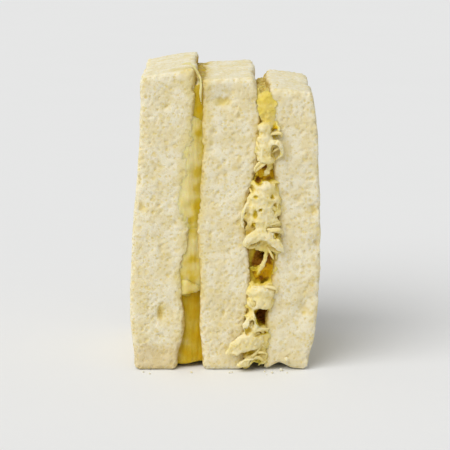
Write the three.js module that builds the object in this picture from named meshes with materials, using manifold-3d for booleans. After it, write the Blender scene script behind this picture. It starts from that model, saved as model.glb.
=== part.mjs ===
// Finger of a triple sandwich, stood on its short end: three slices of white bread without crust,
// canned pineapple between the first two and a shredded, creamy filling between the last two.
// Millimetres. X runs across the layers, Y from the front cut to the back cut, Z up from the base.
import * as THREE from "three";
import { ImprovedNoise } from "three/addons/math/ImprovedNoise.js";
import { mergeVertices } from "three/addons/utils/BufferGeometryUtils.js";
import Module from "manifold-3d";

const { clamp, lerp, smoothstep, seededRandom } = THREE.MathUtils;
const wasm = await Module();
wasm.setup();

// Overall sizes
const DEPTH = 41;
const FRONT = -DEPTH / 2;
const BACK = DEPTH / 2;
const THICKNESS = 13.3;
const GAP = 0.3;

// Bread: rounding of the cut edges, depth of the crumb's relief, and how its walls vary inside
const BREAD_ROUND = 1.3;
const BREAD_CELLS = [5, 10, 24];
const CRUMB_RELIEF = 0.85;
const CRUMB_SPAN = 5;
const CRUMB_BROAD = 19;
const FLAT_FOOT = 3.5;
const WALL_FADE = 14;
const WALL_DRIFT = 0.9;
const WALL_STRAIGHT = 0.7;
const NOTCH = { x: 14.4, half: 2.2, reach: 9, depth: 2.2, fade: 6 };

// Filling: where its core lies behind the cuts, and the size of a loose shred
const CORE_FOOT = 2.9;
const CORE_HEAD = 72;
const CORE_RECESS = 1.1;
const CORE_ROUND = 0.9;
const CORE_CELLS = [5, 4, 32];
const CORE_LUMP = 2.6;
const CORE_DENT = 0.25;
const SHRED_ROOT = 2.6;
const SHRED_SIDES = 6;
const SHRED_STEP = 2.4;
const SHRED_TAPER = 0.35;
const SHRED_WIDTH = [1.1, 2.6];
const SHRED_LENGTH = [5, 9];
const BACK_SHREDS = 12;
const TOP_SHREDS = 6;
const RANDOM_SEED = 41;

// Pineapple: rounding of a piece, and depth and spacing of its fibres
const FRUIT_ROUND = 0.7;
const FRUIT_CELLS = [4, 7, 8];
const FIBRE_RELIEF = 0.45;
const FIBRE_SPAN = 1.7;
const FRUIT_SWAY = 1.4;

// Outlines on the front cut, as [height, x] from the foot up
const LEFT_OUTER = [[0, -24.2], [11, -25.4], [34, -25.0], [54, -23.2], [69, -22.3], [79, -22.1]];
const LEFT_INNER = [[0, -12.7], [12, -11.7], [25, -11.5], [40, -10.8], [54, -10.7], [68, -8.8], [79, -8.6]];
const MIDDLE_LEFT = [[0, -6.3], [12, -6.8], [25, -6.6], [40, -7.3], [54, -6.1], [66, -5.6], [78, -5.3]];
const MIDDLE_RIGHT = [[0, 4.9], [13, 5.6], [25, 6.9], [34, 6.0], [44, 5.6], [55, 8.7], [65, 9.5], [78, 7.9]];
const RIGHT_INNER = [[0, 9.7], [11, 11.0], [22, 12.0], [33, 13.6], [54, 13.1], [75, 12.6]];
const RIGHT_OUTER = [[0, 21.6], [11, 24.0], [33, 25.3], [46, 24.9], [60, 24.1], [69, 23.4], [75, 22.3]];

// Shallow hollows in the cut faces, as [x, height, radius, depth]
const LEFT_HOLLOWS = [[-17.2, 15.5, 1.6, 0.9], [-23.2, 45, 1.8, 0.6], [-18, 4.5, 4, 0.5]];
const MIDDLE_HOLLOWS = [[-1.8, 71.5, 3.4, 1.3], [-0.7, 16, 1.6, 0.7], [-4.6, 58, 2, 0.4]];
const RIGHT_HOLLOWS = [[22.6, 43.2, 2, 0.9], [24, 34.5, 2, 0.9], [20.6, 16.5, 2.2, 0.8], [18.6, 46, 2, 0.6]];

// Pieces of pineapple from the base up: foot and head as [height at left, height at right], recess
// behind the front and back cuts, and room left at the left and right walls
const FRUIT = {
  pineapple_lower: { foot: [0.9, 1.6], head: [19.7, 21.2], recess: [2.8, 1.6], pad: [0, 0.5] },
  pineapple_flap: { foot: [20.2, 21.7], head: [24.9, 22.9], recess: [0.3, 1.6], cells: [4, 7, 3] },
  pineapple_middle: { foot: [25.4, 23.4], head: [38.6, 39.2], recess: [1.2, 1.0] },
  pineapple_upper: { foot: [39.1, 39.7], head: [66.4, 65.8], recess: [0.9, 1.2], cells: [4, 7, 12] },
};
const SLIVER = {
  foot: [67, 66.4], head: [76.4, 76.8], recess: [0.9, 1.4], pad: [0.5, 0.2], cells: [3, 7, 6],
};

// Long fibre from the sliver over the left slice's top edge, as [x, distance behind the cut, height]
const FIBRE = {
  path: [[-12.4, 4.2, 80.3], [-9.6, 2.6, 80.9], [-7.5, 1.8, 79.4], [-6.9, 2.2, 75.4]], width: 1.4, thick: 1.1,
};

// Deep holes in the filling's front, as [x, height, half width, half height, depth]
const FILLING_HOLES = [
  [10.8, 70.5, 3.6, 5, 4.5],
  [10.6, 52.4, 2.8, 2.7, 5],
  [9.5, 28.2, 3.2, 5.2, 6.5],
  [9.8, 14.1, 2.1, 2.4, 5.5],
];

// Shreds on the front cut: centre line as [x, distance proud of the cut, height], width and thickness.
// Each has at least one end in the core.
const FRONT_SHREDS = [
  { path: [[8.3, -2.2, 63.0], [10.2, 0.2, 65.3], [12.4, -2.0, 64.4]], width: 2.2, thick: 1.6 },
  { path: [[8.6, -2.2, 60.6], [10.2, -0.3, 62.2], [12.2, -2.0, 61.6]], width: 1.6, thick: 1.4 },
  { path: [[9.6, -2, 58.4], [11.2, 0.5, 61], [13.2, 1, 61.5], [14.4, 0.8, 59.4]], width: 1.4, thick: 1.2 },
  { path: [[8.2, -2.2, 57.2], [10.4, -0.2, 58.2], [12.6, -2.2, 56.4]], width: 2.4, thick: 1.7 },
  { path: [[9.0, -3.4, 50.2], [10.2, -1.9, 52.8], [11.9, -3.6, 54.2]], width: 1.3, thick: 1.1 },
  { path: [[7.0, -2.2, 50.8], [10.2, -0.4, 49.4], [12.8, -2.0, 47.4]], width: 2.8, thick: 1.2 },
  { path: [[5.6, -2.2, 46.4], [9.2, 0.2, 46.0], [12.9, -2.2, 45.2]], width: 1.7, thick: 1.4 },
  { path: [[6, -2, 43.4], [8.6, 0.2, 43], [10.6, 0.2, 44.1], [12.8, -2.2, 43]], width: 1.4, thick: 1.3 },
  { path: [[4.6, 0.8, 38.0], [4.2, 0.8, 41.2], [4.9, 0.7, 44.2], [7.0, -2.0, 46.6]], width: 1.1, thick: 0.9 },
  { path: [[6.2, -2.2, 40.2], [8.4, 0.2, 41.4], [11.0, -2.0, 40.2]], width: 1.8, thick: 1.4 },
  { path: [[9.0, -2.2, 39.2], [11.2, 0.1, 40.0], [13.2, -2.2, 38.0]], width: 1.7, thick: 1.4 },
  {
    path: [[4.9, 0.9, 33.6], [6.8, 0.7, 36.2], [9.8, -0.3, 36.9], [12.8, 0.6, 35.0], [15.2, 0.9, 32.0]],
    width: 3.4, thick: 1.8,
  },
  { path: [[11.8, -2.6, 35.4], [10.2, -1, 30.2], [8.9, -1.4, 27.4], [7.8, -3.6, 24]], width: 1.3, thick: 1.2 },
  { path: [[5.7, -2.4, 21.0], [8.6, -0.1, 22.4], [12.2, -2.2, 21.0]], width: 2.5, thick: 1.9 },
  { path: [[6.0, -2.2, 18.0], [9.0, 0.2, 19.6], [12.0, -2.2, 18.0]], width: 2.7, thick: 1.9 },
  { path: [[6.4, -1.8, 19], [7.2, 0.5, 15.4], [8.6, 0.2, 12.6], [12.2, -2.4, 11.6]], width: 1.2, thick: 1.1 },
  { path: [[8.4, -2.6, 15.2], [6.4, 0.6, 14.2], [4.8, 0.9, 12.8], [4.8, 0.9, 10.8]], width: 1.4, thick: 1.2 },
  { path: [[2, 1, 6.6], [4.6, 1.2, 9.2], [7.8, 0.8, 10], [11.4, -2.4, 7.2]], width: 3.4, thick: 1.9 },
  { path: [[1.4, 0.9, 3.9], [4.0, 1.1, 6.2], [7.2, 0.4, 7.0], [10.4, -2.4, 5.2]], width: 2.3, thick: 1.6 },
  { path: [[3.2, 0.9, 2.3], [6.2, 0.6, 3.0], [9.2, -2.2, 4.6]], width: 2.3, thick: 1.6 },
];

const noise = new ImprovedNoise();
const FORWARD = new THREE.Vector3(0, -1, 0);
const BACKWARD = new THREE.Vector3(0, 1, 0);
const UPWARD = new THREE.Vector3(0, 0, 1);

const BREAD = { color: 0xdbcfaa, roughness: 0.95, metalness: 0 };
const PINEAPPLE = { color: 0xd2b95a, roughness: 0.35, metalness: 0 };
const FILLING = { color: 0xdccb8d, roughness: 0.6, metalness: 0 };

// Only positions, with shared vertices merged, so that the surface is closed
function closed(geometry) {
  geometry.deleteAttribute("normal");
  geometry.deleteAttribute("uv");
  return mergeVertices(geometry, 1e-5);
}

// Moves each vertex by change(point)
function reshape(geometry, change) {
  const position = geometry.attributes.position;
  const point = new THREE.Vector3();
  for (let i = 0; i < position.count; i += 1) {
    point.fromBufferAttribute(position, i);
    change(point);
    position.setXYZ(i, point.x, point.y, point.z);
  }
  return geometry;
}

// Box grid with rounded edges. The first and last row of cells on each axis make the rounding,
// and place(point, outward) moves each point of it where it belongs.
function softBox(half, cells, round, place) {
  const flat = half.clone().subScalar(round);
  const outward = new THREE.Vector3();
  const spread = (unit, axis, count) => {
    const step = Math.round(((unit + 1) / 2) * count);
    if (step === 0) return -half[axis];
    if (step === count) return half[axis];
    return lerp(-flat[axis], flat[axis], (step - 1) / (count - 2));
  };
  return reshape(closed(new THREE.BoxGeometry(2, 2, 2, ...cells)), (point) => {
    const [x, y, z] = ["x", "y", "z"].map((axis, i) => spread(point[axis], axis, cells[i]));
    point.set(x, y, z);
    outward.copy(point);
    point.clamp(flat.clone().negate(), flat);
    outward.sub(point).normalize();
    point.addScaledVector(outward, round);
    place(point, outward);
  });
}

// Wall of a slice as x at depth y and height z: as cut at the front, straighter further in
function wall(outline, seed) {
  const heights = outline.map(([height]) => height);
  const offsets = outline.map(([, offset]) => offset);
  const cut = new THREE.CubicInterpolant(heights, offsets, 1);
  const head = heights.at(-1);
  return (y, z) => {
    const height = clamp(z, 0, head);
    const inside = smoothstep(y, FRONT, FRONT + WALL_FADE);
    const straight = lerp(offsets[0], offsets.at(-1), height / head);
    const drift = WALL_DRIFT * inside * noise.noise(seed, y / 15, height / 24);
    return lerp(cut.evaluate(height)[0], straight, WALL_STRAIGHT * inside) + drift;
  };
}

const walls = {
  leftOuter: wall(LEFT_OUTER, 1.7),
  leftInner: wall(LEFT_INNER, 3.3),
  middleLeft: wall(MIDDLE_LEFT, 5.9),
  middleRight: wall(MIDDLE_RIGHT, 8.1),
  rightInner: wall(RIGHT_INNER, 10.7),
  rightOuter: wall(RIGHT_OUTER, 13.3),
};

// Open crumb: dents of two sizes, always inward from the smooth slice
function crumbDepth(point, seed) {
  const coarse = noise.noise(point.x / CRUMB_SPAN + seed, point.y / CRUMB_SPAN, point.z / CRUMB_SPAN);
  const broad = noise.noise(point.x / CRUMB_BROAD, point.y / CRUMB_BROAD + seed, point.z / CRUMB_BROAD);
  return CRUMB_RELIEF * clamp(0.5 + 0.45 * coarse + 0.4 * broad, 0, 1.2);
}

// Depth of the shallow hollows at a point of the front cut
function hollowDepth(hollows, x, z) {
  return hollows.reduce((sum, [atX, atZ, radius, depth]) => {
    const away = Math.hypot(x - atX, z - atZ) / radius;
    return sum + depth * Math.exp(-away * away);
  }, 0);
}

// Slice of bread between two walls. extra > 0 gives its smooth outer form, that much larger all round.
function breadSlice({ left, right, head, seed, hollows, notch }, extra = 0) {
  const tallest = Math.max(...head);
  const half = new THREE.Vector3(THICKNESS / 2, DEPTH / 2, tallest / 2);
  return softBox(half, BREAD_CELLS, BREAD_ROUND, (point, outward) => {
    const rise = (point.z + half.z) / tallest;
    const across = point.x / THICKNESS + 0.5;
    const height = rise * lerp(head[0], head[1], across);
    const firm = smoothstep(height, 0, FLAT_FOOT);
    const x = lerp(left(point.y, height), right(point.y, height), across);
    const cutFace = Math.max(0, -outward.y);
    const dent = crumbDepth(point, seed) + cutFace * hollowDepth(hollows, x, height);
    const lift = notch ? notch(x, point.y) * (1 - smoothstep(height, 0, NOTCH.fade)) : 0;
    point.set(x, point.y, height + lift);
    point.addScaledVector(outward, extra > 0 ? extra : -dent * firm);
  });
}

// Notch torn in the foot of the right slice, at its front edge
function footNotch(x, y) {
  const away = Math.hypot((x - NOTCH.x) / NOTCH.half, (y - FRONT) / NOTCH.reach);
  return NOTCH.depth * Math.exp(-away * away);
}

const slices = {
  bread_left: {
    left: walls.leftOuter, right: walls.leftInner, head: [77.9, 80.6], seed: 2.1, hollows: LEFT_HOLLOWS,
  },
  bread_middle: {
    left: walls.middleLeft, right: walls.middleRight, head: [77.4, 78.0], seed: 6.4, hollows: MIDDLE_HOLLOWS,
  },
  bread_right: {
    left: walls.rightInner, right: walls.rightOuter, head: [75.4, 74.2], seed: 9.2, hollows: RIGHT_HOLLOWS,
    notch: footNotch,
  },
};

// Layer that fills the space between two walls, from foot to head, as [height at left, height at right]
function layer({ between: [left, right], foot, head, recess, cells, round, relief, pad = [0, 0], sway = 0 }) {
  const tall = Math.max(...head) - Math.min(...foot);
  const half = new THREE.Vector3(THICKNESS / 5, DEPTH / 2, tall / 2);
  return softBox(half, cells, round, (point, outward) => {
    const across = point.x / half.x / 2 + 0.5;
    const inward = point.y / DEPTH + 0.5;
    const bottom = lerp(foot[0], foot[1], across);
    const top = lerp(head[0], head[1], across);
    const z = lerp(bottom, top, point.z / tall + 0.5) + sway * noise.noise(4.4, inward * 3.1, 0.5);
    const y = lerp(FRONT + recess[0], BACK - recess[1], inward);
    const x = lerp(left(y, z) + GAP + pad[0], right(y, z) - GAP - pad[1], across);
    point.set(x, y, z).addScaledVector(outward, -relief(point, outward));
  });
}

// Fibres of the pineapple run up and down the piece
function fibreDepth(point) {
  const ridge = noise.noise(point.x / FIBRE_SPAN, point.y / FIBRE_SPAN, point.z / 11);
  const lump = noise.noise(point.x / 6, point.y / 7 + 3.3, point.z / 6);
  return FIBRE_RELIEF * clamp(0.5 + 0.6 * ridge + 0.5 * lump, 0, 1.3);
}

// Piece of pineapple between the left and the middle slice
function pineapple(shape) {
  const between = [walls.leftInner, walls.middleLeft];
  const common = { between, cells: FRUIT_CELLS, round: FRUIT_ROUND, relief: fibreDepth, sway: FRUIT_SWAY };
  return layer({ ...common, ...shape });
}

// Shred along a smooth curve through the points, with an oval section and tapered ends.
// Its flat side faces the given direction.
function shred(points, width, thick, facing) {
  const path = new THREE.CatmullRomCurve3(points.map((point) => new THREE.Vector3(...point)));
  const steps = Math.max(5, Math.round(path.getLength() / SHRED_STEP) + 2);
  const out = new THREE.Vector3();
  const side = new THREE.Vector3();
  return reshape(closed(new THREE.SphereGeometry(1, SHRED_SIDES, steps)), (point) => {
    const along = Math.acos(clamp(point.y, -1, 1)) / Math.PI;
    const radius = Math.hypot(point.x, point.z);
    const girth = radius < 1e-6 ? 0 : Math.sin(Math.PI * along) ** SHRED_TAPER / radius;
    const tangent = path.getTangentAt(along);
    out.copy(facing).addScaledVector(tangent, -facing.dot(tangent)).normalize();
    side.crossVectors(out, tangent);
    const [sideways, outwards] = [point.x * girth * width / 2, point.z * girth * thick / 2];
    point.copy(path.getPointAt(along)).addScaledVector(side, sideways).addScaledVector(out, outwards);
  });
}

function frontShreds() {
  return FRONT_SHREDS.map(({ path, width, thick }) => {
    const points = path.map(([x, proud, z]) => [x, FRONT - proud, z]);
    return shred(points, width, thick, FORWARD);
  });
}

const between = (range) => lerp(range[0], range[1], seededRandom());

// Point of the filling's gap, across it from 0 at the middle slice to 1 at the right slice
function gapPoint(across, y, z) {
  return [lerp(walls.middleRight(y, z), walls.rightInner(y, z), across), y, z];
}

// Shreds that curl across the back cut, spread evenly up its height
function backShreds() {
  return Array.from({ length: BACK_SHREDS }, (_, i) => {
    const z = 4 + (i * 66) / BACK_SHREDS + between([-0.6, 0.6]);
    const tilt = between([-2, 2]);
    const proud = between([-0.4, 0.3]);
    const points = [
      gapPoint(0.12, BACK - SHRED_ROOT, z - tilt),
      gapPoint(0.5, BACK + proud, z + between([0.4, 1.6])),
      gapPoint(0.88, BACK - SHRED_ROOT, z + tilt),
    ];
    return shred(points, between(SHRED_WIDTH), between([1.2, 1.8]), BACKWARD);
  });
}

// Shreds that lie along the open top of the filling
function topShreds() {
  return Array.from({ length: TOP_SHREDS }, (_, i) => {
    const y = FRONT + 5.5 + (i * 30) / (TOP_SHREDS - 1);
    const reach = between(SHRED_LENGTH) / 2;
    const z = CORE_HEAD + between([0, 1]);
    const points = [
      gapPoint(0.25, y - reach * 0.7, CORE_HEAD - SHRED_ROOT),
      gapPoint(between([0.35, 0.65]), y, z),
      gapPoint(0.75, y + reach * 0.7, CORE_HEAD - SHRED_ROOT),
    ];
    return shred(points, between(SHRED_WIDTH), between([1.1, 1.6]), UPWARD);
  });
}

// Body of the filling behind its shreds, with the holes of the front cut
function fillingCore() {
  const holes = (point, outward) => {
    const lump = noise.noise(point.x / CORE_LUMP, point.y / CORE_LUMP, point.z / CORE_LUMP);
    if (outward.y > -0.2) return CORE_DENT * (1 + lump);
    return FILLING_HOLES.reduce((sum, [x, z, wide, tall, depth]) => {
      const away = Math.hypot((point.x - x) / wide, (point.z - z) / tall);
      return sum + depth * (1 - smoothstep(away, 0.6, 1.3));
    }, CORE_DENT * (1.5 + 2 * lump));
  };
  return layer({
    between: [walls.middleRight, walls.rightInner],
    foot: [CORE_FOOT, CORE_FOOT],
    head: [CORE_HEAD, CORE_HEAD],
    recess: [CORE_RECESS, CORE_RECESS],
    cells: CORE_CELLS,
    round: CORE_ROUND,
    relief: holes,
  });
}

function toManifold(geometry) {
  const solid = closed(geometry);
  const vertProperties = new Float32Array(solid.attributes.position.array);
  const triVerts = new Uint32Array(solid.index.array);
  return new wasm.Manifold(new wasm.Mesh({ numProp: 3, vertProperties, triVerts }));
}

// Joins the pieces, cuts the others off them, and keeps the one large body without sealed hollows
function fuse(pieces, cutters = []) {
  let whole = pieces.map(toManifold).reduce((sum, piece) => sum.add(piece));
  for (const cutter of cutters) whole = whole.subtract(toManifold(cutter));
  const body = whole.decompose().reduce((a, b) => (a.volume() > b.volume() ? a : b));
  const mesh = body.getMesh();
  const geometry = new THREE.BufferGeometry();
  geometry.setAttribute("position", new THREE.BufferAttribute(mesh.vertProperties, 3));
  geometry.setIndex(new THREE.BufferAttribute(mesh.triVerts, 1));
  return geometry;
}

// Thin edge of pineapple in the narrow top of the gap, with one long fibre over the left slice's top
function pineappleSliver() {
  const path = FIBRE.path.map(([x, behind, z]) => [x, FRONT + behind, z]);
  const fibre = shred(path, FIBRE.width, FIBRE.thick, FORWARD);
  const cutters = [breadSlice(slices.bread_left, GAP), breadSlice(slices.bread_middle, GAP)];
  return fuse([pineapple(SLIVER), fibre], cutters);
}

// Core and shreds as one body, clear of the bread on both sides
function filling() {
  seededRandom(RANDOM_SEED);
  const pieces = [fillingCore(), ...frontShreds(), ...backShreds(), ...topShreds()];
  const cutters = [breadSlice(slices.bread_middle, GAP), breadSlice(slices.bread_right, GAP)];
  return fuse(pieces, cutters);
}

const sandwich = new THREE.Group();

function add(name, geometry, look) {
  geometry.computeVertexNormals();
  const mesh = new THREE.Mesh(geometry, new THREE.MeshStandardMaterial(look));
  mesh.name = name;
  sandwich.add(mesh);
}

for (const [name, slice] of Object.entries(slices)) add(name, breadSlice(slice), BREAD);

for (const [name, piece] of Object.entries(FRUIT)) add(name, pineapple(piece), PINEAPPLE);
add("pineapple_sliver", pineappleSliver(), PINEAPPLE);
add("shredded_filling", filling(), FILLING);

// The origin is the middle of the base
const box = new THREE.Box3().setFromObject(sandwich);
const middle = box.getCenter(new THREE.Vector3());
sandwich.position.set(-middle.x, -middle.y, -box.min.z);

export default sandwich;
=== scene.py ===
# %% [markdown]
# # A finger of pineapple triple sandwich
#
# Three slices of white bread without crust stand on their short end. Canned pineapple lies between the
# first two, and a creamy shredded filling between the last two. The solids of the frame give the true
# places and sizes. This lesson grows the fine surface on them: open crumb, wet fruit fibres, loose shreds.

# %% Load the frame
import math
import random

import bmesh
import bpy
from mathutils import Matrix, Vector, noise
from mathutils.bvhtree import BVHTree


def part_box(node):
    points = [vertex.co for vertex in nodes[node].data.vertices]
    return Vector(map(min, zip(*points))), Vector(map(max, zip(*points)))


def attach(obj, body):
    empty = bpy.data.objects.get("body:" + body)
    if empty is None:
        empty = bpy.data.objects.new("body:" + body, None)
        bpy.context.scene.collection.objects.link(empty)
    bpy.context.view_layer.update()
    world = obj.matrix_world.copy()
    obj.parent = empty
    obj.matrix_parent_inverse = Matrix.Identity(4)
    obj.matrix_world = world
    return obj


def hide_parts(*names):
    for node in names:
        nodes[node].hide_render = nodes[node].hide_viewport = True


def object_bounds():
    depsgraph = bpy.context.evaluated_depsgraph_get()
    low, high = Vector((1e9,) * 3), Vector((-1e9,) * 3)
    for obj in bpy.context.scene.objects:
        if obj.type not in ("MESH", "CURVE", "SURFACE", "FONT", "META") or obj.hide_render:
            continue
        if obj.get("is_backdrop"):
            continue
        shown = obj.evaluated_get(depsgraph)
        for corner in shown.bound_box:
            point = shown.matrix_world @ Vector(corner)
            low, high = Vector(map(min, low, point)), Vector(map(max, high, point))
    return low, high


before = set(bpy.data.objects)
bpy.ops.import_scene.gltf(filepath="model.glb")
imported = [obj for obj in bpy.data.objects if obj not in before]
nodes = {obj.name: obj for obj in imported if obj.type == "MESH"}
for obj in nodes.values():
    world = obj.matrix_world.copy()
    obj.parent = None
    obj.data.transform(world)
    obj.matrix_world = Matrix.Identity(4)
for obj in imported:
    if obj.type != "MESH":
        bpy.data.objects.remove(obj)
cad_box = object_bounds()
scene = bpy.context.scene
MM = 0.001
noise.seed_set(12)  # without a seed, noise_vector differs from run to run


def add_object(name, data):
    """New object in the scene."""
    item = bpy.data.objects.new(name, data)
    scene.collection.objects.link(item)
    return item


def mesh_of(shell, name):
    """Turns a bmesh into a mesh and frees it."""
    mesh = bpy.data.meshes.new(name)
    shell.to_mesh(mesh)
    shell.free()
    return mesh


print("frame:", len(nodes), "nodes,", round((cad_box[1].z - cad_box[0].z) / MM, 1), "mm tall")

# %% [markdown]
# The places of holes, shreds and hollows are measured on the front cut, in millimetres from the middle of
# the sandwich as it was drawn. The frame's origin is the middle of its box instead, which is a little to
# one side of that. So one helper turns a drawn place into a frame place.

# %% Places on the sandwich
DEPTH = 41 * MM
MIDDLE_SET_BACK = 0.8 * MM
front_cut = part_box("bread_middle")[0].y - MIDDLE_SET_BACK
back_cut = front_cut + DEPTH
shift_x = 0.23 * MM


def at(x, behind, z):
    """Drawn place in mm, with the distance behind the front cut, as a place in the frame."""
    return Vector((x * MM + shift_x, front_cut + behind * MM, z * MM))


def away_from(place, x, z, wide, tall):
    """Distance to a drawn spot as seen from the front, which is 1 at the edge of the spot."""
    return math.hypot((place.x - shift_x - x * MM) / wide, (place.z - z * MM) / tall) / MM


print("front cut at y =", round(front_cut / MM, 2), "mm, back cut at", round(back_cut / MM, 2), "mm")

# %% [markdown]
# The camera looks almost level at the front cut, with a little of the top in view, as close as the
# photograph's camera was. A longer lens from the same place crops closer and keeps the perspective.

# %% Camera
CAMERA_DISTANCE = 430 * MM
CAMERA_ELEVATION = math.radians(12.5)
PHOTO_LENS = 72
CLOSER = 1.85
HALF_HEIGHT = 39.5 * MM

target = Vector((0, front_cut, HALF_HEIGHT))
out = Vector((0, -math.cos(CAMERA_ELEVATION), math.sin(CAMERA_ELEVATION)))
camera_data = bpy.data.cameras.new("camera")
camera_data.lens = PHOTO_LENS * CLOSER
camera_data.sensor_width = 36
camera = add_object("camera", camera_data)
camera.location = target + out * CAMERA_DISTANCE
camera.rotation_euler = (-out).to_track_quat("-Z", "Y").to_euler()
scene.camera = camera
print("camera", [round(v / MM) for v in camera.location], "mm, lens", round(camera_data.lens), "mm")

# %% [markdown]
# All materials are built from the same few steps: add a node with its inputs, lay one colour over another
# by a mask, or calculate with masks. Soft mottling is an effect that several finishes share, so it is a
# node group, and each material places it with its own scales.

# %% Shader helpers
def set_inputs(tree, item, inputs):
    """Gives each input its value, or links it to the socket that stands in for a value."""
    for name, value in inputs.items():
        if isinstance(value, bpy.types.NodeSocket):
            tree.links.new(value, item.inputs[name])
        else:
            item.inputs[name].default_value = value


def node(tree, kind, inputs=(), **settings):
    """New node with its settings and inputs."""
    item = tree.nodes.new(kind)
    for key, value in settings.items():
        setattr(item, key, value)
    set_inputs(tree, item, dict(inputs))
    return item


def material(name):
    look = bpy.data.materials.new(name)
    look.use_nodes = True
    return look, look.node_tree, look.node_tree.nodes["Principled BSDF"]


def blend_colour(tree, factor, first, second):
    """Mix between two colours or colour sockets."""
    first, second = [(*value, 1) if isinstance(value, tuple) else value for value in (first, second)]
    return node(tree, "ShaderNodeMix", {0: factor, 6: first, 7: second}, data_type="RGBA").outputs[2]


def ranged(tree, value, low, high, to_low=0.0, to_high=1.0):
    """Map Range node with a smooth step."""
    inputs = {"Value": value, "From Min": low, "From Max": high, "To Min": to_low, "To Max": to_high}
    return node(tree, "ShaderNodeMapRange", inputs, interpolation_type="SMOOTHSTEP").outputs["Result"]


def lay_over(tree, colour, layers):
    """Lays colours over one another. Each layer is a mask, its low and high end, its strength and colour."""
    for mask, low, high, strength, tone in layers:
        colour = blend_colour(tree, ranged(tree, mask, low, high, 0, strength), colour, tone)
    return colour


def calculate(tree, operation, *values):
    return node(tree, "ShaderNodeMath", dict(enumerate(values)), operation=operation).outputs[0]


def attribute(tree, name):
    return node(tree, "ShaderNodeAttribute", attribute_name=name).outputs["Fac"]


def bumps(tree, height, strength, distance):
    inputs = {"Height": height, "Strength": strength, "Distance": distance}
    return node(tree, "ShaderNodeBump", inputs).outputs["Normal"]


def new_group(name, inputs, outputs):
    """Empty node group with named numbers going in and out."""
    group = bpy.data.node_groups.new(name, "ShaderNodeTree")
    for way, sockets in (("INPUT", inputs), ("OUTPUT", outputs)):
        for socket in sockets:
            group.interface.new_socket(socket, in_out=way, socket_type="NodeSocketFloat")
    return group, node(group, "NodeGroupInput"), node(group, "NodeGroupOutput")


def mottle_group():
    """Soft patches and a finer grain on Object coordinates, both from 0 to 1."""
    group, into, outof = new_group("mottle", ("Patch Scale", "Grain Scale"), ("Patch", "Grain"))
    place = node(group, "ShaderNodeTexCoord").outputs["Object"]
    for label, detail in (("Patch", 3), ("Grain", 5)):
        inputs = {"Vector": place, "Scale": into.outputs[label + " Scale"], "Detail": detail}
        texture = node(group, "ShaderNodeTexNoise", inputs)
        set_inputs(group, outof, {label: texture.outputs["Fac"]})
    return group


MOTTLE = mottle_group()


def mottle(tree, patch_scale, grain_scale):
    scales = {"Patch Scale": patch_scale, "Grain Scale": grain_scale}
    return node(tree, "ShaderNodeGroup", scales, node_tree=MOTTLE)


# %% [markdown]
# The photograph's light is soft and comes from all around, a little more from the upper left. A wide sun
# lights the floor evenly as far as it goes, and the room lights the rest. The room looks to the camera
# exactly as pale as the lit floor, so no edge shows where they meet.

# %% Floor, room and sun
ROOM_LIGHT = 0.46
SEEN_ROOM = (0.820, 0.811, 0.803)
SUN_POWER = 2.1
SUN_SPREAD = math.radians(50)
SUN_FROM = Vector((-0.55, -0.62, 0.95))
FLOOR_COLOURS = (0.815, 0.822, 0.832), (0.825, 0.832, 0.842)


def floor_material():
    look, tree, shader = material("pale floor")
    speckle = node(tree, "ShaderNodeTexNoise", {"Scale": 400})
    colour = blend_colour(tree, speckle.outputs["Fac"], *FLOOR_COLOURS)
    set_inputs(tree, shader, {"Base Color": colour, "Roughness": 0.7, "Specular IOR Level": 0})
    return look


disc = bmesh.new()
bmesh.ops.create_circle(disc, cap_ends=True, segments=96, radius=9)
floor = add_object("floor", mesh_of(disc, "floor"))
floor.data.materials.append(floor_material())
floor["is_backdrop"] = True

world = bpy.data.worlds.new("pale room")
scene.world = world
world.use_nodes = True
room = world.node_tree
light_room = room.nodes["Background"]
set_inputs(room, light_room, {"Color": (1.0, 1.0, 0.99, 1), "Strength": ROOM_LIGHT})
seen_room = node(room, "ShaderNodeBackground", {"Color": (*SEEN_ROOM, 1)})
to_camera = node(room, "ShaderNodeLightPath").outputs["Is Camera Ray"]
either = node(room, "ShaderNodeMixShader", {0: to_camera, 1: light_room.outputs[0], 2: seen_room.outputs[0]})
set_inputs(room, room.nodes["World Output"], {"Surface": either.outputs[0]})

sun_data = bpy.data.lights.new("sun", "SUN")
sun_data.energy = SUN_POWER
sun_data.angle = SUN_SPREAD
sun_data.color = (1.0, 0.99, 0.97)
sun = add_object("sun", sun_data)
sun.rotation_euler = SUN_FROM.to_track_quat("Z", "Y").to_euler()
scene.view_settings.view_transform = "Standard"
print("room light", ROOM_LIGHT, "and a sun of", SUN_POWER, "W/m2")

# %% [markdown]
# Bread, fruit and the core of the filling start as fine, even copies of their solids. Voxel remeshing gives
# small square faces of one size, and a short smoothing takes away the flat facets without changing the form.
# The piece is turned askew for it, because voxels leave steps on a face that is only nearly level.

# %% Even copies of the solids
ASKEW = Matrix.Rotation(math.radians(31), 4, "X") @ Matrix.Rotation(math.radians(37), 4, "Y")


def bake(piece):
    """Replaces the piece's modifiers by their result."""
    graph = bpy.context.evaluated_depsgraph_get()
    graph.update()
    done = bpy.data.meshes.new_from_object(piece.evaluated_get(graph))
    piece.modifiers.clear()
    old = piece.data
    piece.data = done
    bpy.data.meshes.remove(old)


def smooth_out(piece, rounds):
    soften = piece.modifiers.new("soften", "SMOOTH")
    soften.factor = 0.5
    soften.iterations = rounds
    bake(piece)


def even_out(piece, spacing, rounds):
    """Gives a piece small faces of one size, and joins what overlaps in it."""
    piece.data.transform(ASKEW)
    remesh = piece.modifiers.new("even", "REMESH")
    remesh.mode = "VOXEL"
    remesh.voxel_size = spacing
    smooth_out(piece, rounds)
    piece.data.transform(ASKEW.inverted())
    piece.data.update()


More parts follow.
